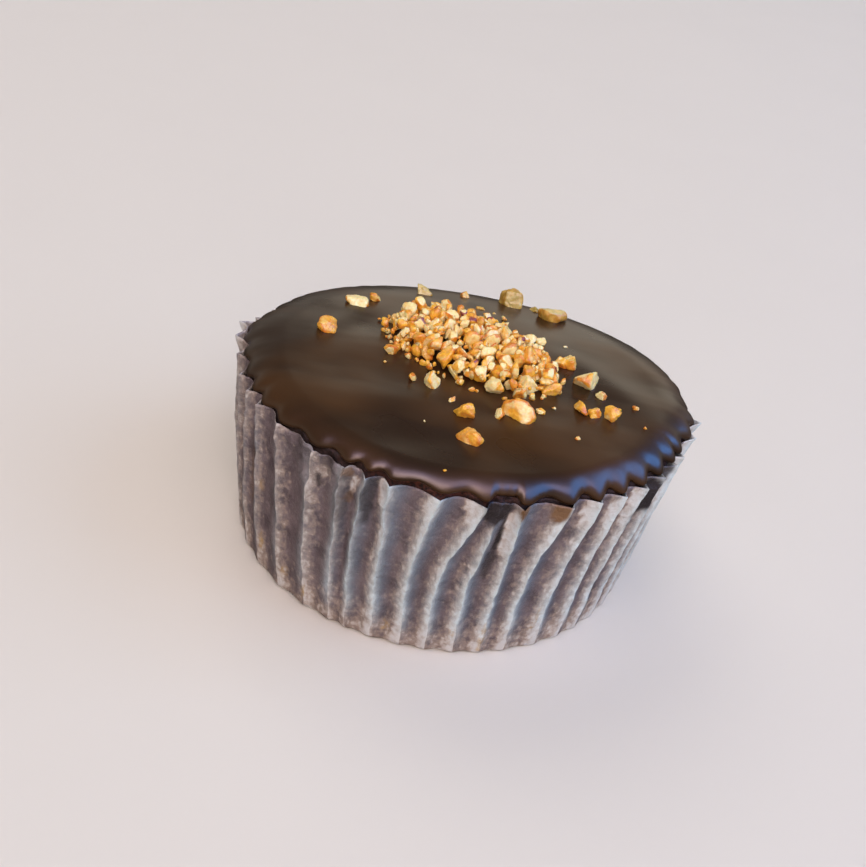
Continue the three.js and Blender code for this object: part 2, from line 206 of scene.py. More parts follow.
class CrumbSettings(bpy.types.PropertyGroup):
    moist: colour("Moist Crumb", "Colour of the cake", (0.014, 0.006, 0.0045))
    red: colour("Red Crumb", "Colour of its drier grains", (0.150, 0.040, 0.022))


class NutSettings(bpy.types.PropertyGroup):
    cream: colour("Cut Nut", "Colour of a cut face", (0.98, 0.85, 0.47))
    grain: colour("Grain", "Colour of the grain in a cut face", (0.96, 0.66, 0.22))
    toasted: colour("Toasted Nut", "Colour of the darker cut faces", (0.93, 0.56, 0.10))
    golden: colour("Roasted Nut", "Colour of a roasted face", (0.94, 0.49, 0.05))
    dark: colour("Dark Roast", "Colour of its darkest patches", (0.66, 0.19, 0.014))
    skin: colour("Skin", "Colour of bits of skin", (0.24, 0.055, 0.045))
    dull: colour("Dull Nut", "Colour of the nuts further back", (0.56, 0.42, 0.13))
    olive: colour("Olive Nut", "Colour of their darker patches", (0.36, 0.24, 0.03))


class StageSettings(bpy.types.PropertyGroup):
    floor: colour("Floor", "Colour of the floor", (0.73, 0.69, 0.64))


# ---------------------------------------------------------------- shape of the cake

def random_draws(seed):
    """Draws from 0 to 1 that are the same on every run."""
    state = seed
    while True:
        state = (state * DRAW_MULTIPLIER + DRAW_STEP) % DRAW_RANGE
        yield state / DRAW_RANGE


def ease(value, low, high):
    """Share from 0 to 1, with a soft start and end, as value goes from low to high."""
    share = min(max((value - low) / (high - low), 0.0), 1.0)
    return share * share * (3 - 2 * share)


def mixed(low, high, share):
    return low + (high - low) * share


def close_to(azimuth, centre, width):
    """1 at the azimuth centre, falling to 0 within about two widths."""
    away = (azimuth - centre + 180) % 360 - 180
    return math.exp(-((away / width) ** 2))


def backness(azimuth):
    """0 at the front, 1 at the back."""
    return 0.5 - 0.5 * math.cos(math.radians(azimuth + 90))


def uneven(x, y, z=0.0):
    """Smooth noise from about -1 to 1."""
    return noise.noise(Vector((x, y, z)))


class CakeShape:
    """Where the paper's side, its rim and the icing run, in millimetres and degrees."""

    def __init__(self, scene):
        case, icing = scene.cake_case, scene.cake_icing
        self.foot_radius = case.foot_radius / MM
        self.rim_radius = case.rim_radius / MM
        self.rim = case.rim_height / MM
        self.paper = case.paper / MM
        self.pleats = case.pleats
        self.columns = case.pleats * STEPS
        self.centre = icing.centre / MM
        self.lip = icing.lip / MM
        self.thickness = icing.thickness / MM
        self.ridges = self.make_ridges()

    def make_ridges(self):
        """The front ridges as listed, the others at an uneven pitch."""
        draw = random_draws(RIDGE_SEED)
        others = self.pleats - len(FRONT_RIDGES)
        pitches = [1 + PLEAT_WANDER * (2 * next(draw) - 1) for _ in range(others + 1)]
        unit = (360 - (FRONT_RIDGES[-1][0] - FRONT_RIDGES[0][0])) / sum(pitches)
        ridges = list(FRONT_RIDGES)
        azimuth = FRONT_RIDGES[-1][0]
        for pitch in pitches[:-1]:
            azimuth += pitch * unit
            ridges.append((azimuth, RIM_TWIST * 2 * next(draw)))
        return ridges

    def ridge_azimuth(self, number, height):
        azimuth, twist = self.ridges[number % self.pleats]
        whole_turns = 360 * (number // self.pleats)
        rim_turn = twist * ease(height, TWIST_FROM, self.rim)
        foot_turn = FOOT_TWIST * (1 - ease(height, 0, FOOT_TWIST_TO))
        return azimuth + whole_turns + rim_turn + foot_turn + self.kink(number, height)

    def kink(self, number, height):
        """How far creased paper carries a ridge sideways."""
        spot = (number % self.pleats) * RIDGE_APART
        return sum(most * uneven(spot, height / apart, salt) for most, apart, salt in KINKS)

    def share(self, column):
        """Place of a column in its pleat: 0 at one ridge, 1 at the next, closest at both."""
        return 0.5 - 0.5 * math.cos(math.pi * (column % STEPS) / STEPS)

    def azimuth(self, column, height):
        pleat = column // STEPS
        start = self.ridge_azimuth(pleat, height)
        end = self.ridge_azimuth(pleat + 1, height)
        return mixed(start, end, self.share(column))

    def pinch(self, column):
        """1 at the ridge that is pressed flat under the rim, 0 at its neighbours."""
        pleat = column // STEPS
        if pleat == PINCHED:
            return ease(1 - self.share(column), 0, 1)
        if pleat == PINCHED - 1:
            return ease(self.share(column), 0, 1)
        return 0.0

    def fold(self, column, height):
        """How far a column lies behind the ridges, as a share of the pleats' depth.

        The ridges are round at the foot and sharp from SHARP_FROM up.
        """
        sharp = math.sin(math.pi * self.share(column) ** FLUTE_SKEW)
        depth = mixed(sharp * sharp, sharp, ease(height, ROUND_TO, SHARP_FROM))
        pressed = self.pinch(column) * ease(height, PINCH_FROM, PINCH_TO)
        depth = mixed(depth, PINCH_FOLD, pressed)
        return mixed(depth, CRUMPLED_FOLD, self.crumpled(self.azimuth(column, height), height))

    def crumpled(self, azimuth, height):
        """How far the pleats are lost where the paper was crumpled under the rim."""
        reach = close_to(azimuth, CRUMPLED_AT, CRUMPLED_WIDTH)
        return CRUMPLED_MOST * reach * ease(height, CRUMPLED_FROM, CRUMPLED_TO)

    def rim_height(self, azimuth):
        height = self.rim - RIM_DROP_BACK * backness(azimuth) ** RIM_DROP_POWER
        for centre, width, _, rise in RIM_CORNERS:
            height += rise * close_to(azimuth, centre, width)
        return height

    def lining(self, depth):
        """How far the paper's inner face lies behind its outer one at a depth below the rim.

        Down where nobody sees it, it keeps clear of the creases.
        """
        return mixed(self.paper, INNER_INSET, ease(depth, INNER_FROM, INNER_TO))

    def pleat_depth(self, height):
        return mixed(PLEAT_DEPTH_FOOT, PLEAT_DEPTH_RIM, height / self.rim)

    def side_radius(self, azimuth, height):
        """Radius of the side over the ridges."""
        share = height / self.rim
        radius = mixed(self.foot_radius, self.rim_radius, share)
        radius += BULGE * 4 * share * (1 - share)
        for centre, width, reach, _ in RIM_CORNERS:
            pull = reach * close_to(azimuth, centre, width)
            radius += pull * ease(height, CORNER_FROM, CORNER_TO)
        return radius

    def paper_radius(self, column, height):
        """Radius of the paper's outer face, creases left out."""
        side = self.side_radius(self.azimuth(column, height), height)
        return side - self.pleat_depth(height) * self.fold(column, height)

    def point(self, azimuth, radius, height):
        """A point at a radius from the case's leaning centre line, in metres."""
        turn = math.radians(azimuth)
        centre = LEAN * (height / self.rim) ** 2
        return Vector((
            centre + radius * math.cos(turn), radius * math.sin(turn), height)) * MM

    def lip_level(self, azimuth):
        """Height that the foot of the lip has all round, but for the front."""
        side = ICING_EDGE_SIDE * math.sin(math.radians(azimuth + 90))
        back = ICING_EDGE_BACK * backness(azimuth) ** ICING_DROP_POWER
        return ICING_EDGE + side - back

    def icing_edge(self, azimuth):
        """Height of the icing's lower edge."""
        front = ICING_EDGE_FRONT * close_to(azimuth, ICING_FRONT, ICING_FRONT_WIDTH)
        return self.lip_level(azimuth) + front

    def clearness(self, azimuth):
        """1 where the icing's edge hangs free above the paper."""
        clearance = self.icing_edge(azimuth) - self.rim_height(azimuth)
        return ease(clearance, CLEAR_FROM, CLEAR_TO)

    def lobe(self, column):
        """0 where the icing reaches into a ridge, 1 where it draws back from a valley."""
        between_ridges = math.sin(math.pi * self.share(column)) ** LOBE_POWER
        return mixed(between_ridges, 1.0, self.pinch(column))

    def icing_radius(self, column, wave):
        """Radius of the icing's edge, which follows the pleats by the share wave."""
        azimuth = self.azimuth(column, self.rim)
        height = min(self.icing_edge(azimuth), self.rim)
        side = self.side_radius(azimuth, height) - self.paper - ICING_CLEAR
        depth = self.pleat_depth(height) * LOBE_DEPTH
        overhang = ICING_OVERHANG * self.clearness(azimuth)
        return side + overhang - depth * mixed(LOBE_MEAN, self.lobe(column), wave)

    def icing_top(self, azimuth, share):
        at_edge = self.lip_level(azimuth) + self.lip
        return self.centre + (at_edge - self.centre) * share * share

    def icing_underside(self, azimuth, share):
        middle = self.centre - self.thickness
        return middle + (self.icing_edge(azimuth) - middle) * share

    def icing_height_at(self, x, y):
        azimuth = math.degrees(math.atan2(y, x - LEAN))
        edge = self.side_radius(azimuth, self.rim)
        edge -= PLEAT_DEPTH_RIM + CASE_WALL + CASE_GAP
        return self.icing_top(azimuth, math.hypot(x - LEAN, y) / edge)


# ---------------------------------------------------------------- building helpers

def stacked_rings(columns, rows):
    """A tube of unit radius whose rings stand one unit apart, to be placed afterwards."""
    bm = bmesh.new()
    bmesh.ops.create_circle(bm, cap_ends=False, radius=1.0, segments=columns)
    edges = bm.edges[:]
    for _ in range(rows - 1):
        made = bmesh.ops.extrude_edge_only(bm, edges=edges)["geom"]
        edges = [part for part in made if isinstance(part, bmesh.types.BMEdge)]
        ring = [part for part in made if isinstance(part, bmesh.types.BMVert)]
        bmesh.ops.translate(bm, vec=(0, 0, 1), verts=ring)
    return bm


def finished(name, bm, material):
    """The piece as an object at the origin, which rides with the cake."""
    mesh = bpy.data.meshes.new(name)
    bm.to_mesh(mesh)
    bm.free()
    mesh.polygons.foreach_set("use_smooth", [True] * len(mesh.polygons))
    piece = bpy.data.objects.new(name, mesh)
    bpy.context.scene.collection.objects.link(piece)
    mesh.materials.append(material)
    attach(piece, "root")
    return piece


def ring_piece(name, material, columns, rows, attributes, place):
    """A piece of rings, each vertex at place(column, row), which also gives its attributes."""
    bm = stacked_rings(columns, rows)
    layers = [bm.verts.layers.float.new(attribute) for attribute in attributes]
    for vert in bm.verts:
        turn = math.atan2(vert.co.y, vert.co.x) / (2 * math.pi)
        column = round(turn * columns) % columns
        vert.co, values = place(column, round(vert.co.z))
        for layer, value in zip(layers, values):
            vert[layer] = value
    bmesh.ops.remove_doubles(bm, verts=bm.verts[:], dist=WELD)
    bmesh.ops.recalc_face_normals(bm, faces=bm.faces[:])
    return finished(name, bm, material)


# ---------------------------------------------------------------- material helpers

class Nodes:
    """Nodes under construction: each call adds one and returns its output."""

    def __init__(self, owner):
        owner.use_nodes = True
        self.tree = owner.node_tree

    def feed(self, socket, value):
        """Links a node's output to a socket, or gives the socket a value."""
        if isinstance(value, bpy.types.NodeSocket):
            self.tree.links.new(value, socket)
        elif socket.type == "RGBA" and len(value) == 3:
            socket.default_value = (*value, 1.0)
        else:
            socket.default_value = value

    def add(self, kind, output, inputs=(), **settings):
        node = self.tree.nodes.new(kind)
        for key, value in settings.items():
            setattr(node, key, value)
        for key, value in dict(inputs).items():
            self.feed(node.inputs[key], value)
        return node.outputs[output]

    def ranged(self, value, low, high, out_low=0.0, out_high=1.0):
        """What goes from out_low to out_high as value goes from low to high."""
        return self.add("ShaderNodeMapRange", "Result", {
            "Value": value, "From Min": low, "From Max": high,
            "To Min": out_low, "To Max": out_high})

    def math(self, operation, first, second):
        return self.add("ShaderNodeMath", "Value", {0: first, 1: second}, operation=operation)

    def plus(self, first, second):
        return self.math("ADD", first, second)

    def minus(self, first, second):
        return self.math("SUBTRACT", first, second)

    def times(self, first, second):
        return self.math("MULTIPLY", first, second)


class Finish(Nodes):
    """A material and its nodes."""

    def __init__(self, name):
        self.material = bpy.data.materials.new(name)
        super().__init__(self.material)
        self.shader = self.tree.nodes["Principled BSDF"]
        self.place = self.add("ShaderNodeTexCoord", "Object")

    def stretched(self, scale, turn=0.0):
        return self.add("ShaderNodeMapping", "Vector", {
            "Vector": self.place, "Scale": scale, "Rotation": (0, 0, math.radians(turn))})

    def noise(self, size, detail=3.0, roughness=0.5, distortion=0.0, place=None):
        """Noise from 0 to 1 whose lumps are about size millimetres across."""
        return self.add("ShaderNodeTexNoise", "Fac", {
            "Vector": place or self.place, "Scale": 1 / (size * MM), "Detail": detail,
            "Roughness": roughness, "Distortion": distortion})

    def cells(self, size, place=None):
        inputs = {"Vector": place or self.place, "Scale": 1 / (size * MM)}
        return self.add("ShaderNodeTexVoronoi", "Distance", inputs, feature="SMOOTH_F1")

    def attribute(self, name):
        return self.add("ShaderNodeAttribute", "Fac", attribute_name=name)

    def mix(self, share, first, second):
        """The first colour where share is 0, the second where it is 1."""
        inputs = {"Factor": share, 6: first, 7: second}
        return self.add("ShaderNodeMix", 2, inputs, data_type="RGBA")

    def bumps(self, *reliefs):
        """Normals of reliefs laid over each other, each with its depth in millimetres."""
        inputs = {}
        for relief, depth in reliefs:
            inputs.update({"Height": relief, "Distance": depth * MM})
            inputs["Normal"] = self.add("ShaderNodeBump", "Normal", inputs)
        return inputs["Normal"]

    def set(self, **inputs):
        for key, value in inputs.items():
            self.feed(self.shader.inputs[key.replace("_", " ")], value)
        return self.material


def paper_finish(settings):
    finish = Finish("greased paper")
    soak = finish.attribute("soak")
    upright = finish.stretched((1.0, 1.0, 0.6))
    level = finish.stretched((1.0, 1.0, 1.6))
    blotch = finish.noise(2.6, detail=4, roughness=0.6)
    mottle = finish.noise(0.62, detail=5, roughness=0.68, distortion=0.4, place=upright)
    fibre = finish.noise(0.26, detail=4, roughness=0.7, place=upright)
    wrinkle = finish.noise(1.5, detail=4, roughness=0.6, distortion=0.6, place=level)
    grains = finish.cells(0.52, place=upright)

    wetness = soak
    for pattern, low, high, most in (
            (mottle, 0.28, 0.72, 0.26), (grains, 0.1, 0.6, 0.16), (wrinkle, 0.3, 0.7, 0.20)):
        wetness = finish.plus(wetness, finish.ranged(pattern, low, high, -most, most))
    greasy = finish.mix(finish.ranged(blotch, 0.36, 0.64), settings.soaked, settings.deep)
    speckle = finish.times(
        finish.ranged(fibre, 0.50, 0.70), finish.ranged(soak, 0.3, 1.0, 0.5, 0.16))
    greasy = finish.mix(speckle, greasy, settings.fibres)
    damp = finish.mix(finish.ranged(wetness, 0.35, 0.95), settings.damp, greasy)
    paper = finish.mix(finish.ranged(wetness, 0.0, 0.55), settings.dry, damp)
    # What lies over it, from the painted shade beside the ridges and the painted highlight along
    # them to the smears
    mottled = {
        "shade": finish.ranged(mottle, 0.3, 0.7, 1.0, 0.6),
        "ridge_highlight": finish.ranged(mottle, 0.3, 0.6, 1.0, 0.6),
        "ochre": finish.ranged(mottle, 0.4, 0.6),
    }
    for layer, tone in (
            ("shade", settings.painted_shade), ("ridge_highlight", settings.ridge_highlight), ("ochre", settings.ochre),
            ("brown", settings.brown), ("smear", settings.smear)):
        share = finish.attribute(layer)
        if layer in mottled:
            share = finish.times(share, mottled[layer])
        paper = finish.mix(share, paper, tone)
    return finish.set(
        Base_Color=paper,
        Roughness=finish.ranged(wetness, 0.0, 1.0, 0.62, 0.40),
        Normal=finish.bumps((fibre, 0.06), (mottle, 0.13), (wrinkle, 0.26), (blotch, 0.20)),
        IOR=1.45)


def icing_finish(settings):
    finish = Finish("chocolate icing")
    drawn_out = finish.stretched((0.25, 1.0, 1.0), turn=25)
    streaks = finish.noise(6.0, detail=2, roughness=0.45, place=drawn_out)
    cloud = finish.noise(8.0, detail=1, roughness=0.4)
    fine = finish.noise(0.45, detail=2)
    drifts = finish.plus(streaks, cloud)
    thin_and_glow = finish.ranged(drifts, 0.8, 1.2, 0.0, 0.75)
    # Spots of painted glow make it lighter, and spots of painted shade make it darker
    thin_and_glow = finish.plus(thin_and_glow, finish.attribute("painted_glow"))
    thin_and_glow = finish.ranged(finish.minus(thin_and_glow, finish.attribute("painted_dusk")), 0.0, 1.0)
    return finish.set(
        Base_Color=finish.mix(thin_and_glow, settings.chocolate, settings.thin_and_glow_colour),
        Roughness=finish.ranged(drifts, 0.75, 1.25, 0.27, 0.36),
        Normal=finish.bumps((fine, 0.003), (streaks, 0.10), (cloud, 0.30)),
        IOR=1.46)


def crumb_finish(settings):
    finish = Finish("dark crumb")
    pores = finish.cells(0.8)
    grain = finish.noise(0.5, detail=5, roughness=0.7)
    # Painted shade: away from the front the drier red grains are mostly left out, darkening the
    # crumb in the gap under the icing
    bare_unshaded = finish.ranged(finish.attribute("bare_unshaded"), 0.0, 1.0, 0.15, 1.0)
    dry = finish.times(finish.ranged(grain, 0.4, 0.7), bare_unshaded)
    return finish.set(
        Base_Color=finish.mix(dry, settings.moist, settings.red),
        Roughness=0.8,
        Normal=finish.bumps((pores, 0.3), (grain, 0.25)))


def nut_finish(settings):
    finish = Finish("chopped nut")
    cut = finish.attribute("cut")
    tint = finish.attribute("tint")
    grain = finish.noise(0.4, detail=4, roughness=0.6)
    patch = finish.noise(1.2, detail=3)
    cream = finish.mix(finish.ranged(grain, 0.4, 0.7), settings.cream, settings.grain)
    cream = finish.mix(finish.ranged(tint, 0.6, 1.0), cream, settings.toasted)
    roasted = finish.mix(finish.ranged(patch, 0.40, 0.62), settings.golden, settings.dark)
    pale = finish.plus(cut, finish.ranged(patch, 0.3, 0.7, -0.45, 0.35))
    pale = finish.minus(pale, finish.ranged(tint, 0.4, 1.0, -0.1, 0.6))
    nut = finish.mix(finish.ranged(pale, 0.25, 0.65), roasted, cream)
    skin = finish.times(finish.attribute("skin"), finish.ranged(patch, 0.50, 0.56))
    skin = finish.times(skin, finish.ranged(cut, 0.1, 0.5, 1.0, 0.0))
    nut = finish.mix(skin, nut, settings.skin)
    dull = finish.mix(finish.ranged(patch, 0.4, 0.6), settings.dull, settings.olive)
    nut = finish.mix(finish.attribute("olive"), nut, dull)
    return finish.set(
        Base_Color=nut,
        Roughness=finish.ranged(grain, 0.3, 0.7, 0.26, 0.46),
        Subsurface_Weight=0.22,
        Subsurface_Radius=(0.0012, 0.0006, 0.00025),
        Subsurface_Scale=1.0,
        Normal=finish.bumps((patch, 0.2), (grain, 0.10)),
        IOR=1.46)


def floor_finish(settings):
    finish = Finish("pale floor")
    pale = tuple(settings.floor)
    shade = tuple(0.97 * part for part in pale)
    return finish.set(
        Base_Color=finish.mix(finish.noise(40.0, detail=2), pale, shade), Roughness=0.7)


# ---------------------------------------------------------------- the paper case

FOOT_SHARES = (0.0, 0.6, 1.0)  # rings under the foot, as shares of its radius
FOOT_TURNS = (30, 60, 90)  # slopes of the rings round its edge
SIDE_ROWS = 66
# Depths below the rim of the rows inside the case, from the rim down
INNER_ROWS = (0.0, 0.3, 0.7, 1.2, 1.8, 2.6, 3.6, 5.0, 7.0, 9.5, 12.0, 16.0, 20.0)

# Stains on the paper: azimuth, height, half width in degrees, half height, strength
BROWN_STAINS = (
    (-63.2, 23.0, 2.4, 2.1, 1.0), (-71.8, 22.9, 1.5, 1.3, 1.0), (-112.6, 22.6, 1.2, 0.8, 0.7),
    (-111.6, 19.2, 1.0, 0.9, 0.6), (-147.0, 12.0, 2.0, 5.0, 0.3),
)
DARK_SMEARS = (
    (-38.0, 17.9, 2.1, 2.6, 1.0), (-33.6, 20.6, 3.3, 3.1, 1.0), (-27.0, 22.2, 3.0, 2.3, 0.9),
    (-77.8, 22.6, 3.5, 2.7, 1.0), (-75.4, 18.7, 0.7, 3.1, 1.0),
    (-75.6, 14.6, 1.7, 2.4, 0.7), (-106.6, 20.8, 1.5, 4.2, 0.7), (-113.0, 18.6, 2.0, 4.0, 0.4),
    (-120.3, 19.4, 1.4, 0.8, 0.7), (-118.0, 22.5, 2.4, 1.6, 0.5), (-147.0, 16.5, 2.6, 2.4, 0.45),
    (-127.5, 21.5, 2.0, 1.5, 0.4),
)
DRY_PATCHES = (
    (-102.8, 22.2, 3.0, 2.0, 1.0), (-101.3, 18.2, 1.3, 4.5, 0.9), (-91.6, 21.8, 1.9, 2.2, 1.0),
    (-92.2, 17.5, 1.0, 3.5, 0.7), (-83.0, 22.2, 2.4, 2.0, 1.0), (-73.6, 19.4, 1.6, 3.4, 0.9),
    (-62.4, 18.8, 2.0, 2.6, 0.9), (-54.8, 21.6, 2.2, 2.9, 1.0), (-47.0, 20.5, 1.8, 3.0, 0.9),
    (-40.5, 20.0, 1.8, 3.0, 0.8), (-135.2, 23.9, 2.4, 1.2, 0.8), (-111.0, 21.2, 1.3, 1.6, 0.8),
    (-119.0, 20.9, 2.8, 1.1, 0.55), (-22, 20.0, 5.0, 5.0, 0.9), (-6, 21.5, 9.0, 3.5, 1.0),
    (177, 22.5, 8.0, 2.2, 0.8),
)
OCHRE_SPOTS = (
    (-139.6, 4.4, 0.9, 1.6, 0.8), (-128.6, 3.2, 0.9, 1.0, 0.9), (-120.8, 2.4, 0.7, 1.2, 0.8),
    (-96.6, 2.8, 0.7, 1.1, 0.9), (-71.3, 3.0, 0.8, 3.0, 0.6), (-79.6, 3.4, 0.7, 1.6, 0.5),
    (-57.5, 5.0, 0.7, 2.2, 0.45), (-140.6, 12.6, 0.7, 0.9, 0.5),
)
BLOTCH_REACH = 2.0  # stains further away than this many half widths are left out
BLOTCH_RAGGED = 0.3
BLOTCH_FULL = 0.72  # shares of its half width between which a stain fades
BLOTCH_END = 1.08

# Where the paper was pinched: azimuth, width, heights between which it grows, strength
PINCHED_CREASES = ((-121, 13, 16, 20.5, 2.0), (-74, 5, 14, 18, 0.5), (-143, 14, 14, 19, 0.6))
CREASE_LEAST = 0.10
CREASE_PINCHED = 0.30
CREASE_DEEPEST = -0.6
PAPER_SWELL = 0.16

PAPER_LAYERS = ("soak", "ridge_highlight", "shade", "brown", "smear", "ochre")
SOAK_MOST = 1.02
PALER_LIT_FLANK = 0.66  # how much paler the flank facing the light is: partly drier paper, partly painted light
SOAK_FOOT = 0.60
SOAK_UNEVEN = 0.12
GREASE_AND_SHADE_LEFT = 0.32  # how much darker the left side is: painted shade on the side away from the light, as greasier paper
GREASE_AND_SHADE_LEFT_AT = -145
GREASE_AND_SHADE_LEFT_WIDTH = 24
SOAK_INSIDE = 0.35
# Painted highlight along the ridges: how narrow it is
HIGHLIGHT_NARROW = 2.2
HIGHLIGHT_LEFT = 0.25  # strength of the painted highlight along the ridges at the left, where they lie in shadow
# strength of the painted shade beside the ridges
PAINTED_SHADE_MOST = 0.75


def blotches(spots, azimuth, height, salt):
    """Strength of the strongest stain at a place, with ragged edges."""
    strength = 0.0
    for centre, level, wide, tall, most in spots:
        across = ((azimuth - centre + 180) % 360 - 180) / wide
        up = (height - level) / tall
        if abs(across) > BLOTCH_REACH or abs(up) > BLOTCH_REACH:
            continue
        away = math.hypot(across, up)
        away += BLOTCH_RAGGED * uneven(azimuth / 1.6, height / 1.1, salt)
        strength = max(strength, most * (1 - ease(away, BLOTCH_FULL, BLOTCH_END)))
    return strength


def crease(azimuth, height):
    """How far crumpling lifts the paper, in millimetres, more where it was pinched."""
    pinched = max(
        most * close_to(azimuth, centre, width) * ease(height, low, high)
        for centre, width, low, high, most in PINCHED_CREASES)
    depth = (CREASE_LEAST + CREASE_PINCHED * pinched) * ease(height, -1, 4)
    x = azimuth / 2.4
    z = height / 1.5
    fine = uneven(x, z, 1.7) + 0.5 * uneven(2.1 * x, 2.1 * z, 4.2)
    swell = PAPER_SWELL * uneven(azimuth / 7, height / 5, 6.1) * ease(height, 1, 6)
    return depth * max(fine, CREASE_DEEPEST) + swell


def on_front(azimuth, start, end):
    """0 round the left and the back, 1 from the front round to the right."""
    return ease(azimuth, start, end) * (1 - ease(azimuth, 60, 120))


def soaked(shape, column, azimuth, height):
    """How greasy the paper looks: paler on the flank of each ridge that faces the light, partly
    drier paper and partly painted light; painted shade round the left, as greasier paper; paler
    towards the foot.
    """
    share = shape.share(column)
    # Painted light, partly drier paper: the paler flank is the one that faces the light, so it
    # changes sides at the front
    lit_flank = mixed(1 - share, share, on_front(azimuth, -116, -104))
    level = SOAK_MOST - PALER_LIT_FLANK * ease(lit_flank, 0.42, 1.0)
    level -= SOAK_FOOT * (1 - ease(height, -2, 9))
    level += SOAK_UNEVEN * uneven(azimuth / 3.5, height / 3.0, 8.0)
    # Painted shade round the left, the side away from the light, as greasier paper
    level += GREASE_AND_SHADE_LEFT * close_to(azimuth, GREASE_AND_SHADE_LEFT_AT, GREASE_AND_SHADE_LEFT_WIDTH)
    dry = blotches(DRY_PATCHES, azimuth, height, 3.0)
    return level * (1 - dry * (0.45 + 0.55 * ease(lit_flank, 0.1, 0.6)))


def paper_looks(shape, column, height, inside):
    """Values of the paper's layers at a place."""
    azimuth = shape.azimuth(column, height)
    share = shape.share(column)
    front = on_front(azimuth, -128, -100)
    # Painted highlight along each ridge, weaker at the left, where the ridges lie in shadow
    ridge_highlight = (1 - shape.fold(column, height)) ** HIGHLIGHT_NARROW * ease(height, 0, 7)
    # Painted shade: a dark bluish band just after each ridge, round the front and the right
    shade = ease(share, 0.0, 0.10) * (1 - ease(share, 0.14, 0.55)) * front
    return (
        SOAK_INSIDE if inside else soaked(shape, column, azimuth, height),
        ridge_highlight * mixed(HIGHLIGHT_LEFT, 1.0, front),
        shade * PAINTED_SHADE_MOST * ease(height, 0, 8),
        blotches(BROWN_STAINS, azimuth, height, 2.0),
        blotches(DARK_SMEARS, azimuth, height, 6.0),
        blotches(OCHRE_SPOTS, azimuth, height, 4.0))


def ragged_rim(shape, column):
    """Height of the rim at a column, a little wavy, and torn where it is crumpled."""
    azimuth = shape.azimuth(column, shape.rim)
    rim = shape.rim_height(azimuth) + RIM_WAVE * uneven(column / STEPS * 0.9, 3.3)
    return rim + shape.crumpled(azimuth, rim) * uneven(column / STEPS * 2.6, 7.7)


class CAKE_OT_paper_case(bpy.types.Operator):
    """Builds the pleated paper case"""

    bl_idname = "cake.paper_case"
    bl_label = "Paper Case"

    def execute(self, context):
        shape = CakeShape(context.scene)

        def side(column, height, inset, inside=False):
            azimuth = shape.azimuth(column, height)
            radius = shape.paper_radius(column, height) + crease(azimuth, height) - inset
            looks = paper_looks(shape, column, height, inside)
            return shape.point(azimuth, radius, height), looks

        def place(column, row):
            if row < len(FOOT_SHARES):
                edge = shape.paper_radius(column, 0) - FOOT_INSET
                point = shape.point(shape.azimuth(column, 0), edge * FOOT_SHARES[row], 0)
                return point, paper_looks(shape, column, 0, False)
            row -= len(FOOT_SHARES)
            if row < len(FOOT_TURNS):
                turn = math.radians(FOOT_TURNS[row])
                inset = FOOT_INSET * (1 - math.sin(turn))
                return side(column, FOOT_ROUND * (1 - math.cos(turn)), inset)
            row -= len(FOOT_TURNS)
            rim = ragged_rim(shape, column)
            if row < SIDE_ROWS:
                return side(column, mixed(FOOT_ROUND, rim, (row + 1) / SIDE_ROWS), 0)
            row -= SIDE_ROWS
            if row < len(INNER_ROWS):
                depth = INNER_ROWS[row]
                height = max(rim - depth, shape.paper)
                return side(column, height, shape.lining(depth), inside=True)
            return shape.point(0, 0, shape.paper), paper_looks(shape, column, 0, True)

        rows = len(FOOT_SHARES) + len(FOOT_TURNS) + SIDE_ROWS + len(INNER_ROWS) + 1
        material = paper_finish(context.scene.cake_case)
        piece = ring_piece(
            "pleated_paper_case", material, shape.columns, rows, PAPER_LAYERS, place)
        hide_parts("paper_case")
        return {"FINISHED"}


# ---------------------------------------------------------------- the cake

CRUMB_CLEAR = 0.08  # gap to the paper
CRUMB_LIFTED = 0.06  # gap to the case's bottom
CRUMB_FOOT = 0.4
CRUMB_ROWS = (3, 6, 9, 12, 15, 18, 20, 21, 21.8, 22.4, 22.8, 23.1, 23.4, 23.7)
CRUMB_TOP = (0.97, 0.9, 0.6, 0.0)  # rings of the top, as shares of its radius
CRUMB_OVERLAP = 0.1  # how far it reaches into the icing's underside
ROUGH_FROM = 20  # height from which the crumb can be seen
ROUGH_LUMPS = 0.26
ROUGH_SUNK = 0.3
BEHIND_PLEATS = 0.62  # up there it keeps this share of the pleats' depth behind the ridges
BEHIND_MORE = 0.2
BARE_AT = -93  # where the crumb shows between paper and icing; away from it the crumb gets painted shade
BARE_WIDTH = 15


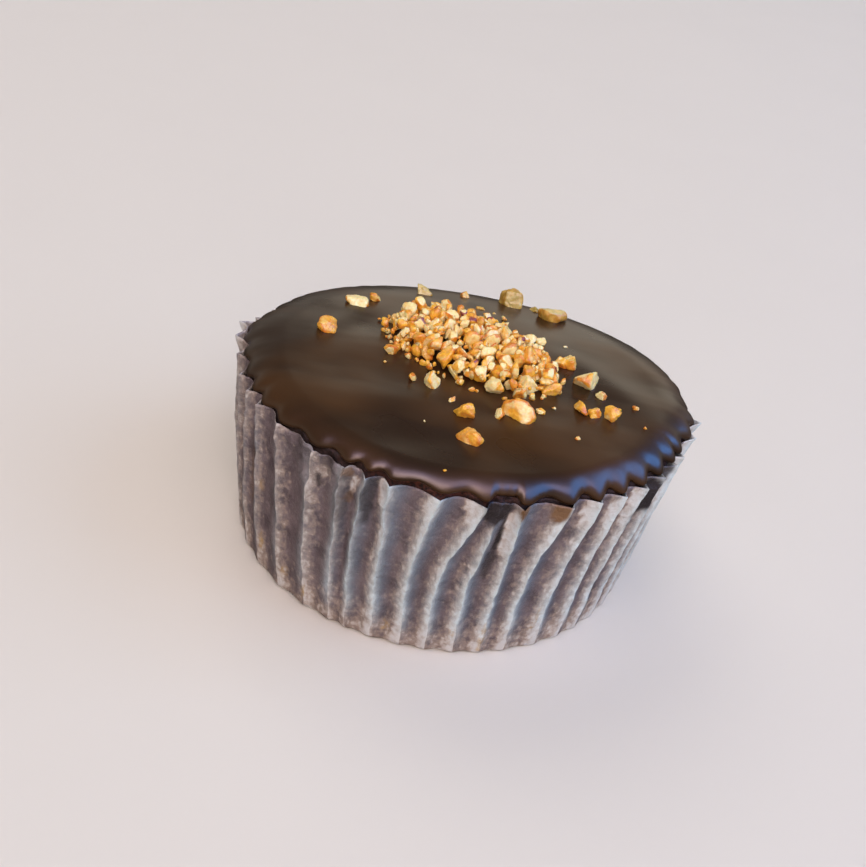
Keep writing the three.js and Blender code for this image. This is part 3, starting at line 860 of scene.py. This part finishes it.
class CAKE_OT_crumb(bpy.types.Operator):
    """Builds the cake inside the case, whose crumb shows under the icing"""

    bl_idname = "cake.crumb"
    bl_label = "Crumb"

    def execute(self, context):
        shape = CakeShape(context.scene)
        floor = shape.paper + CRUMB_LIFTED
        heights = (floor + CRUMB_FOOT, *CRUMB_ROWS)

        def side_point(column, row, edge):
            """The side, smooth against the paper and rough from ROUGH_FROM up to the icing."""
            height = min(heights[row], edge) if row < len(heights) else edge
            rough = ease(height, ROUGH_FROM, edge)
            azimuth = shape.azimuth(column, height)
            radius = shape.paper_radius(column, height)
            radius += crease(azimuth, height) - CRUMB_CLEAR - (FOOT_INSET if row == 0 else 0)
            radius -= shape.lining(shape.rim_height(azimuth) - height)
            back = shape.pleat_depth(height) * BEHIND_PLEATS + BEHIND_MORE
            most = shape.side_radius(azimuth, height) - back
            radius = mixed(radius, min(radius, most), rough)
            lumps = uneven(azimuth / 1.9, height / 0.8, 9.0)
            lumps += 0.6 * uneven(azimuth / 0.9, height / 0.4, 3.0)
            radius += rough * (ROUGH_LUMPS * lumps - ROUGH_SUNK)
            # 1 at the front, where the crumb is bare; elsewhere its painted shade is strongest
            bare_unshaded = close_to(azimuth, BARE_AT, BARE_WIDTH)
            return shape.point(azimuth, radius, height), (bare_unshaded,)

        def place(column, row):
            if row == 0:
                return shape.point(0, 0, floor), (0.0,)
            row -= 1
            azimuth = shape.azimuth(column, shape.rim)
            if row <= len(heights):
                edge = shape.icing_underside(azimuth, 1) + CRUMB_OVERLAP
                return side_point(column, row, edge)
            share = CRUMB_TOP[row - len(heights) - 1]
            height = shape.icing_underside(azimuth, share) + CRUMB_OVERLAP * share
            radius = shape.icing_radius(column, 0.3) * share - 0.5
            return shape.point(azimuth, max(radius, 0), height), (0.0,)

        rows = 1 + len(heights) + 1 + len(CRUMB_TOP)
        material = crumb_finish(context.scene.cake_crumb)
        piece = ring_piece("cake_crumb", material, shape.columns, rows, ("bare_unshaded",), place)
        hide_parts("cake")
        return {"FINISHED"}


# ---------------------------------------------------------------- the icing

# Slopes of the rows round the lip, from under it to the flat top: the elevation of their
# normals. Up to LIP_BREAK it is a tight roll, from there on a wide one.
LIP_TURNS = (-75, -50, -25, 0, 12, 17, 22, 27, 32, 37, 42, 47, 52, 57, 62, 67, 72, 77, 82, 86, 90)
LIP_BREAK = 12
LIP_ROLL = 0.32  # radius of the tight roll
LIP_SHOULDER = 2.6  # width of the wide one at the front
LIP_SHOULDER_BACK = 7.5
LOBES_LEAST = 0.46  # strength of the lobes at the back and the left
LOBES_MORE = 0.32  # what is added at the right of the front
LOBES_MOST_AT = -45
LOBES_REACH = 45
LOBES_FREE = 0.6  # what is left of them where the edge hangs free
LOBES_FADE = 3.2  # the higher, the sooner the lobes end above the lip's edge
LIP_DROP = 0.4  # how far a lobe hangs down at a ridge
LIP_ARCH = 0.5  # how far the lip is drawn up over a valley
EDGE_WAVE = 0.12
TOP_ROWS = 40
UNDER_SHARES = (0.0, 0.6, 0.93)  # rings of the underside, as shares of its radius

# Painted light on the icing: spots of painted glow, reflected light, and spots of painted shade,
# where it is darker: x, y, half width, strength
PAINTED_GLOW_SPOTS = ((6.5, -17.5, 4.5, 0.9), (-14.0, -14.0, 8.0, 0.3), (13.0, -14.0, 6.0, 0.35))
PAINTED_SHADE_SPOTS = ((-2.1, -22.0, 4.0, 0.5), (-24.0, -2.0, 5.0, 0.8), (-20.0, 12.0, 6.0, 0.5))

# Waves in the icing: slow ones all over, and long low ones, each with its x, y, direction,
# half length, half width and height
SLOW_WAVE = 0.14
ICING_WAVES = (
    (17.5, 0.0, -48, 8, 2.6, 0.26), (-18.5, -1.0, 68, 8, 2.4, 0.20),
    (-13.0, 3.0, 62, 7, 2.2, -0.16), (21.0, 5.0, -60, 7, 2.4, -0.12),
    (-8.0, -14.0, 20, 9, 3.0, 0.16), (6.0, -17.0, 30, 5, 3.0, 0.20),
    (-3.0, -21.0, 15, 6, 2.6, -0.14), (-4.0, 14.0, -10, 10, 2.4, 0.16),
)


def swell(x, y):
    """Height of the waves in the top, in millimetres."""
    height = SLOW_WAVE * uneven(x / 12, y / 9, 3.0)
    for centre_x, centre_y, direction, half_long, half_wide, rise in ICING_WAVES:
        turn = math.radians(direction)
        along = (x - centre_x) * math.cos(turn) + (y - centre_y) * math.sin(turn)
        across = (y - centre_y) * math.cos(turn) - (x - centre_x) * math.sin(turn)
        height += rise * math.exp(-((along / half_long) ** 2) - (across / half_wide) ** 2)
    return height


def tones(point):
    """How much painted glow and how much painted shade the icing gets at a place."""
    x, y = point.x / MM, point.y / MM
    return tuple(
        sum(most * math.exp(-(math.hypot(x - spot_x, y - spot_y) / reach) ** 2)
            for spot_x, spot_y, reach, most in spots)
        for spots in (PAINTED_GLOW_SPOTS, PAINTED_SHADE_SPOTS))


class CAKE_OT_icing(bpy.types.Operator):
    """Builds the icing, with a lip that follows the pleats"""

    bl_idname = "cake.icing"
    bl_label = "Icing"

    def execute(self, context):
        shape = CakeShape(context.scene)
        bend = math.radians(LIP_BREAK)

        def lip_point(column, azimuth, turn):
            lobe = shape.lobe(column)
            hung = LOBES_LEAST + LOBES_MORE * close_to(azimuth, LOBES_MOST_AT, LOBES_REACH)
            hung *= mixed(1, LOBES_FREE, shape.clearness(azimuth))
            width = mixed(LIP_SHOULDER, LIP_SHOULDER_BACK, backness(azimuth))
            inwards = max(math.degrees(turn) - LIP_BREAK, 0) / (90 - LIP_BREAK)
            fade = math.cos(math.pi / 2 * inwards) ** LOBES_FADE
            outermost = shape.icing_radius(column, fade * hung)
            level = shape.icing_edge(azimuth) + EDGE_WAVE * uneven(azimuth / 3.0, 1.0, 2.0)
            level += hung * mixed(-LIP_DROP, LIP_ARCH, lobe) * fade
            roll_centre = level + LIP_ROLL
            if turn <= bend:
                radius = outermost - LIP_ROLL * (1 - math.cos(turn))
                return radius, roll_centre + LIP_ROLL * math.sin(turn)
            shoulder = outermost - LIP_ROLL * (1 - math.cos(bend))
            radius = shoulder - width * (1 - math.cos(turn) / math.cos(bend))
            share = radius / shape.icing_radius(column, 0)
            top = shape.icing_top(azimuth, share)
            foot = roll_centre + LIP_ROLL * math.sin(bend)
            rise = (math.sin(turn) - math.sin(bend)) / (1 - math.sin(bend))
            return radius, mixed(foot, top, rise)

        def place(column, row):
            azimuth = shape.azimuth(column, shape.rim)
            if row < len(UNDER_SHARES):
                share = UNDER_SHARES[row]
                radius = shape.icing_radius(column, 0.5) * share
                point = shape.point(azimuth, radius, shape.icing_underside(azimuth, share))
                return point, (0.0, 0.0)
            row -= len(UNDER_SHARES)
            if row < len(LIP_TURNS):
                turn = math.radians(LIP_TURNS[row])
                radius, height = lip_point(column, azimuth, turn)
                point = shape.point(azimuth, radius, height)
                rise = max(math.sin(turn), 0) ** 2
                point.z += swell(point.x / MM, point.y / MM) * rise * MM
                return point, tones(point)
            row -= len(LIP_TURNS)
            share = 1 - (row + 1) / TOP_ROWS
            brim, _ = lip_point(column, azimuth, math.pi / 2)
            radius = brim * share
            whole = radius / shape.icing_radius(column, 0)
            point = shape.point(azimuth, radius, shape.icing_top(azimuth, whole))
            if share == 0:
                point = shape.point(0, 0, shape.centre)
            point.z += swell(point.x / MM, point.y / MM) * MM
            return point, tones(point)

        rows = len(UNDER_SHARES) + len(LIP_TURNS) + TOP_ROWS
        material = icing_finish(context.scene.cake_icing)
        piece = ring_piece(
            "chocolate_icing_coat", material, shape.columns, rows, ("painted_glow", "painted_dusk"), place)
        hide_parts("chocolate_icing")
        return {"FINISHED"}


# ---------------------------------------------------------------- the nuts

def heap_spot(out, spin, scatter=(0.0, 0.0)):
    """Place on the cake of a point at a share of the heap's reach in a direction."""
    along = HEAP_LONG * out * math.cos(spin) + HEAP_SCATTER * scatter[0]
    across = HEAP_WIDE * out * math.sin(spin) + HEAP_SCATTER * scatter[1]
    turn = math.radians(HEAP_TURN)
    x = HEAP_X + along * math.cos(turn) - across * math.sin(turn)
    y = HEAP_Y + along * math.sin(turn) + across * math.cos(turn)
    return x, y


def heap_nuts(shape):
    """The nuts that make the heap, each with its x, y, z, size and three turns."""
    draw = random_draws(NUT_SEED)
    golden_angle = math.pi * (3 - math.sqrt(5))
    nuts = []
    for i in range(HEAP_NUTS):
        out = math.sqrt((i + 0.5) / HEAP_NUTS)
        scatter = [next(draw) - 0.5 for _ in range(2)]
        size = mixed(HEAP_NUT_SMALL, HEAP_NUT_LARGE, next(draw) ** SMALL_MORE_OFTEN)
        x, y = heap_spot(out, i * golden_angle, scatter)
        z = shape.icing_height_at(x, y) + HEAP_HIGH * (1 - out * out) + NUT_SUNK * size / 2
        nuts.append((x, y, z, size, [next(draw) for _ in range(3)]))
    return nuts


def loose_nuts(shape):
    """The nuts that lie apart from the heap."""
    draw = random_draws(NUT_SEED + 1)
    nuts = []
    for x, y, size in LOOSE_NUTS:
        z = shape.icing_height_at(x, y) + (0.5 - NUT_SUNK) * size * LOOSE_FLATNESS
        turns = [next(draw), next(draw) * LOOSE_TILT, next(draw) * LOOSE_TILT]
        nuts.append((x, y, z, LOOSE_GROWTH * size, turns))
    return nuts


NUT_LAYERS = ("cut", "tint", "skin", "olive")
ROASTED_FACES = 0.22  # share of the cut faces that are roasted as dark as the outside
CUT_SHARPNESS = 26  # power that keeps the edges between cut faces crisp
OLIVE_FROM = 9.0  # the nuts further back are duller
OLIVE_TO = 17.0
OLIVE_LEAST = 0.3
SKIN_SHARE = 0.08  # share of the nuts that keep some skin
SKIN_FROM = 1.4  # smaller bits have none
CUT_NEAREST = 0.36  # shares of a nut's radius at which it is cut
CUT_FURTHEST = 0.78
KNOBS = 0.17
SMALL_KNOBS = 0.06
LEAST_WIDE = 0.78  # shares of its length that a nut may be wide and high
LEAST_HIGH = 0.62
MOST_HIGH = 0.92


def add_chopped_nut(whole, nut, draw, fineness, cuts, skins):
    """Adds one chopped nut to a mesh: a rounded lump with flat, slightly rough cut faces."""
    x, y, z, size, turns = nut
    planes = []
    for _ in range(cuts):
        normal = Vector([next(draw) - 0.5 for _ in range(3)]).normalized()
        reach = mixed(CUT_NEAREST, CUT_FURTHEST, next(draw))
        tone = next(draw)
        planes.append((normal, reach, 0.0 if tone < ROASTED_FACES else mixed(0.6, 1.0, tone)))
    tint, skin, dull = next(draw), next(draw), next(draw)
    bm = bmesh.new()
    layers = [bm.verts.layers.float.new(name) for name in NUT_LAYERS]
    bmesh.ops.create_icosphere(bm, subdivisions=fineness, radius=1.0)
    skinned = float(skins and skin < SKIN_SHARE and size > SKIN_FROM)
    olive = ease(y, OLIVE_FROM, OLIVE_TO) * mixed(OLIVE_LEAST, 1.0, dull)
    for vert in bm.verts:
        out = vert.co.normalized()
        pressed = 0.0
        toned = 0.0
        for normal, reach, tone in planes:
            weight = (max(out.dot(normal), 0) / reach) ** CUT_SHARPNESS
            pressed += weight
            toned += weight * tone
        radius = (1 + pressed) ** (-1 / CUT_SHARPNESS)
        spot = out * 1.9 + Vector((x, y, z))
        radius *= 1 + KNOBS * uneven(*spot) + SMALL_KNOBS * uneven(*(spot * 2.7))
        values = (toned / (1 + pressed), tint, skinned, olive)
        for layer, value in zip(layers, values):
            vert[layer] = value
        vert.co = out * radius
    reach = max(vert.co.length for vert in bm.verts)
    flatness = (
        1.0, mixed(LEAST_WIDE, 1.0, next(draw)), mixed(LEAST_HIGH, MOST_HIGH, next(draw)))
    turn = Euler([2 * math.pi * t for t in (turns[1], turns[2], turns[0])], "XYZ")
    move = Matrix.Translation(Vector((x, y, z)) * MM) @ turn.to_matrix().to_4x4()
    move = move @ Matrix.Diagonal((*(0.5 * size * MM / reach * f for f in flatness), 1))
    bmesh.ops.transform(bm, matrix=move, verts=bm.verts[:])
    lump = bpy.data.meshes.new("lump")
    bm.to_mesh(lump)
    bm.free()
    whole.from_mesh(lump)
    bpy.data.meshes.remove(lump)


def nut_piece(name, nuts, material, seed, fineness, cuts, skins=True):
    """Nuts of one kind as one piece."""
    whole = bmesh.new()
    for layer in NUT_LAYERS:
        whole.verts.layers.float.new(layer)
    draw = random_draws(seed)
    for nut in nuts:
        add_chopped_nut(whole, nut, draw, fineness, cuts, skins)
    piece = finished(name, whole, material)


# Bits of nut dropped on the heap: how many, smallest and largest size, and how far out they
# land as a share of the heap
BED = (110, 1.3, 2.3, 0.95)
UPPER = (80, 1.6, 3.0, 0.96)
FINE = (150, 0.6, 1.5, 1.08)
DROP_SEED = 23
PLACES_TRIED = 5
NUT_REACH = 0.45  # how far out and how high a nut carries others, as shares of its size
NUT_CARRIES = 0.30
NUT_LIES = 0.12  # height of a nut's middle over what carries it, as a share of its size

# Crumbs of nut that lie alone: x, y, size
TINY_CRUMBS = (
    (22.2, -9.4, 0.6), (14.3, -14.8, 0.9), (0.3, -26.0, 0.5), (11.4, -9.3, 0.7),
    (19.2, -6.4, 0.7), (2.7, 13.9, 0.7), (-3.0, -17.5, 0.4), (-11.5, 4.8, 0.6),
    (-9.2, -6.2, 0.5), (12.4, 7.4, 0.7), (9.0, -17.0, 0.4),
)
TINY_LIES = 0.15


def resting_height(x, y, floor, lying):
    """Height of what lies highest at a place: the icing, or a nut on it."""
    top = floor
    for nut_x, nut_y, nut_z, size, _ in lying:
        away = math.hypot(x - nut_x, y - nut_y) / (NUT_REACH * size)
        if away < 1:
            top = max(top, nut_z + NUT_CARRIES * size * math.sqrt(1 - away * away))
    return top


def dropped_nuts(shape, draw, count, small, large, spread, lying):
    """Nuts that fall on the heap one by one, each into the lowest of a few places."""
    nuts = []
    for _ in range(count):
        size = mixed(small, large, next(draw) ** SMALL_MORE_OFTEN)
        places = []
        for _ in range(PLACES_TRIED):
            out = math.sqrt(next(draw)) * spread
            x, y = heap_spot(out, next(draw) * 2 * math.pi)
            icing = shape.icing_height_at(x, y)
            floor = resting_height(x, y, icing, lying + nuts)
            places.append((floor - icing + HEAP_HIGH * out * out, x, y, floor))
        _, x, y, floor = min(places)
        nuts.append((x, y, floor + NUT_LIES * size, size, [next(draw) for _ in range(3)]))
    return nuts


class CAKE_OT_nuts(bpy.types.Operator):
    """Scatters the chopped nuts over the icing"""

    bl_idname = "cake.nuts"
    bl_label = "Chopped Nuts"

    def execute(self, context):
        shape = CakeShape(context.scene)
        material = nut_finish(context.scene.cake_nuts)
        heap = heap_nuts(shape)
        draw = random_draws(DROP_SEED)
        bed = dropped_nuts(shape, draw, *BED, heap)
        upper = dropped_nuts(shape, draw, *UPPER, heap + bed)
        fine = dropped_nuts(shape, draw, *FINE, heap + bed + upper)
        for x, y, size in TINY_CRUMBS:
            z = shape.icing_height_at(x, y) + TINY_LIES * size
            fine.append((x, y, z, size, (0, 0, 0)))
        nut_piece("heaped_nuts", heap, material, seed=21, fineness=4, cuts=10)
        nut_piece("upper_nuts", bed + upper, material, seed=25, fineness=3, cuts=9)
        loose = loose_nuts(shape)
        nut_piece("loose_nuts", loose, material, seed=22, fineness=4, cuts=7, skins=False)
        nut_piece("fine_nuts", fine, material, seed=24, fineness=2, cuts=6)
        return {"FINISHED"}


# ---------------------------------------------------------------- the stage

CAMERA_DISTANCE = 153.49  # millimetres from the point that it looks at
CAMERA_AIM = 16.157  # height of that point
CAMERA_ELEVATION = 31.17
CAMERA_ROLL = 11.40
CAMERA_NEAR = 0.005  # metres
LENS = 50.15
SHIFT = (-0.0221, -0.0159)
FLOOR_REACH = 20.0  # metres
LIGHTS_AIM = 0.02  # metres, level that the lights aim at

# Lights: name, azimuth, elevation, distance, width, height, power, colour, and what sees
# it. One that only "gloss" sees is a panel that shines in the icing, and one that only
# "matt" surfaces see is a screen that lights them softly.
LIGHTS = (
    ("key", -84, 30, 2.0, 1.12, 1.12, 19.5, (1.0, 0.87, 0.80), "matt"),
    ("shine", -105, 46, 2.0, 0.96, 1.28, 30.0, (1.0, 0.74, 0.68), "gloss"),
    ("window", 0, 41, 2.0, 2.50, 1.44, 78.0, (0.11, 0.38, 1.0), "gloss"),
    ("window_glow", 0, 34, 2.0, 1.60, 1.60, 17.5, (0.48, 0.70, 1.0), "matt"),
    ("haze", -88, 66, 2.0, 2.40, 1.28, 44.0, (0.76, 0.61, 0.90), "gloss"),
    ("sky", -80, 68, 2.0, 2.00, 1.36, 19.0, (0.97, 0.90, 0.95), "matt"),
    ("top", 125, 50, 2.4, 1.80, 1.60, 19.0, (1.0, 0.94, 0.88), "matt"),
    ("back_panel", 84, 16, 2.4, 1.44, 0.80, 3.2, (1.0, 0.86, 0.66), "gloss"),
)
# Colour of the surroundings, their radiance near the horizon and overhead, and the sines
# of the elevations between which it fades
SURROUNDINGS = (1.0, 0.91, 0.78)
HORIZON = 0.46
OVERHEAD = 0.075
FADE_FROM = 0.12
FADE_TO = 0.54
# What is left of it below the horizon, and how softly it ends there
GROUND = 0.15
GROUND_FADE = 0.06


def add_floor(scene):
    bm = bmesh.new()
    bmesh.ops.create_grid(bm, x_segments=4, y_segments=4, size=FLOOR_REACH)
    mesh = bpy.data.meshes.new("floor")
    bm.to_mesh(mesh)
    bm.free()
    floor = bpy.data.objects.new("floor", mesh)
    mesh.materials.append(floor_finish(scene.cake_stage))
    scene.collection.objects.link(floor)
    floor.visible_glossy = False


def aim(piece, level, azimuth, elevation, distance, roll=0.0):
    """Lets a camera or a light look at a point over the origin, at a level in metres."""
    turn = math.radians(azimuth)
    rise = math.radians(elevation)
    away = Vector((
        math.cos(rise) * math.cos(turn), math.cos(rise) * math.sin(turn), math.sin(rise)))
    piece.location = Vector((0, 0, level)) + away * distance
    piece.rotation_mode = "QUATERNION"
    look = (-away).to_track_quat("-Z", "Y")
    piece.rotation_quaternion = look @ Quaternion((0, 0, 1), math.radians(roll))


def add_camera(scene):
    camera = bpy.data.objects.new("camera", bpy.data.cameras.new("camera"))
    aim(camera, CAMERA_AIM * MM, -90, CAMERA_ELEVATION, CAMERA_DISTANCE * MM, CAMERA_ROLL)
    camera.data.lens = LENS
    camera.data.shift_x, camera.data.shift_y = SHIFT
    camera.data.clip_start = CAMERA_NEAR
    scene.collection.objects.link(camera)
    scene.camera = camera


def add_light(scene, name, azimuth, elevation, distance, wide, high, power, rgb, seen_by):
    lamp = bpy.data.lights.new(name, "AREA")
    lamp.shape = "RECTANGLE"
    lamp.size = wide
    lamp.size_y = high
    lamp.energy = power
    lamp.color = rgb
    light = bpy.data.objects.new(name, lamp)
    aim(light, LIGHTS_AIM, azimuth, elevation, distance)
    light.visible_camera = False
    light.visible_diffuse = seen_by != "gloss"
    light.visible_glossy = seen_by != "matt"
    scene.collection.objects.link(light)


def studio_world():
    """Surroundings that are bright near the horizon and darker overhead and underfoot."""
    world = bpy.data.worlds.new("studio")
    nodes = Nodes(world)
    direction = nodes.add("ShaderNodeTexCoord", "Generated")
    height = nodes.add("ShaderNodeSeparateXYZ", "Z", {"Vector": direction})
    above = nodes.ranged(height, FADE_FROM, FADE_TO, HORIZON, OVERHEAD)
    below = nodes.ranged(height, -GROUND_FADE, GROUND_FADE, GROUND, 1.0)
    background = nodes.tree.nodes["Background"]
    nodes.feed(background.inputs["Color"], SURROUNDINGS)
    nodes.feed(background.inputs["Strength"], nodes.times(above, below))
    return world


class CAKE_OT_stage(bpy.types.Operator):
    """Adds the floor, the lights and the camera"""

    bl_idname = "cake.stage"
    bl_label = "Stage"

    def execute(self, context):
        scene = context.scene
        add_floor(scene)
        add_camera(scene)
        for light in LIGHTS:
            add_light(scene, *light)
        scene.world = studio_world()
        scene.view_settings.view_transform = "Standard"
        return {"FINISHED"}


# ---------------------------------------------------------------- panel and registration

class CAKE_PT_panel(bpy.types.Panel):
    bl_label = "Chocolate Cake"
    bl_idname = "CAKE_PT_panel"
    bl_space_type = "VIEW_3D"
    bl_region_type = "UI"
    bl_category = "Cake"

    def draw(self, context):
        for operator in OPERATORS:
            self.layout.operator(operator.bl_idname)


OPERATORS = (
    CAKE_OT_stage, CAKE_OT_paper_case, CAKE_OT_crumb, CAKE_OT_icing, CAKE_OT_nuts,
)
SETTINGS = {
    "cake_case": CaseSettings,
    "cake_icing": IcingSettings,
    "cake_crumb": CrumbSettings,
    "cake_nuts": NutSettings,
    "cake_stage": StageSettings,
}


def register():
    for group in SETTINGS.values():
        bpy.utils.register_class(group)
    for name, group in SETTINGS.items():
        setattr(bpy.types.Scene, name, PointerProperty(type=group))
    for operator in OPERATORS:
        bpy.utils.register_class(operator)
    bpy.utils.register_class(CAKE_PT_panel)


def unregister():
    bpy.utils.unregister_class(CAKE_PT_panel)
    for operator in reversed(OPERATORS):
        bpy.utils.unregister_class(operator)
    for name, group in SETTINGS.items():
        delattr(bpy.types.Scene, name)
        bpy.utils.unregister_class(group)


def main():
    register()
    bpy.ops.cake.stage()
    bpy.ops.cake.paper_case()
    bpy.ops.cake.crumb()
    bpy.ops.cake.icing()
    bpy.ops.cake.nuts()


if __name__ == "__main__":
    main()
